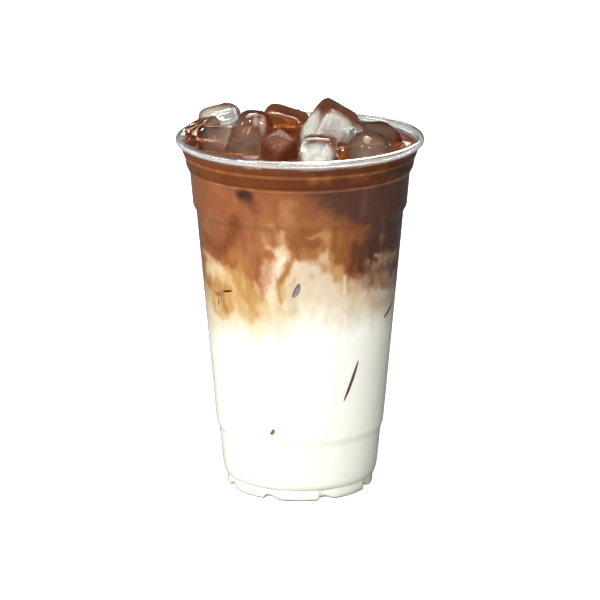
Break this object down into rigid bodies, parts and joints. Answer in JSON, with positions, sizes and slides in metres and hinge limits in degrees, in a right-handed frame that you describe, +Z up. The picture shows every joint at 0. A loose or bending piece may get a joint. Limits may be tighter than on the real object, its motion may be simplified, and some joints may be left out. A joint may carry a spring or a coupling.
{
  "type": "iced latte",
  "caption": "Iced latte in a clear takeaway cup: milk below, coffee above, ice cubes standing out of the open top.",
  "frame": {"origin": "centre of the cup's foot, on the surface that it stands on", "axes": "+Z up along the cup's axis, -Y towards the pictured side, +X to the right of the picture"},
  "size_m": [0.098, 0.098, 0.1562],
  "materials": {
    "clear_plastic": "clear thin moulded plastic, glossy",
    "milk": "opaque white milk",
    "coffee": "milky coffee, wet",
    "ice": "clear wet ice with frosted cores"
  },
  "bodies": {
    "root": {"cup": "clear_plastic", "milk": "milk", "coffee": "coffee", "ice_tall": "ice", "ice_frosted": "ice", "ice_cloudy": "ice", "ice_dome": "ice", "ice_pointed": "ice", "ice_left_flat": "ice", "ice_back": "ice", "ice_right": "ice", "ice_back_left": "ice", "ice_left_bar": "ice", "ice_chip": "ice"}
  },
  "joints": []
}
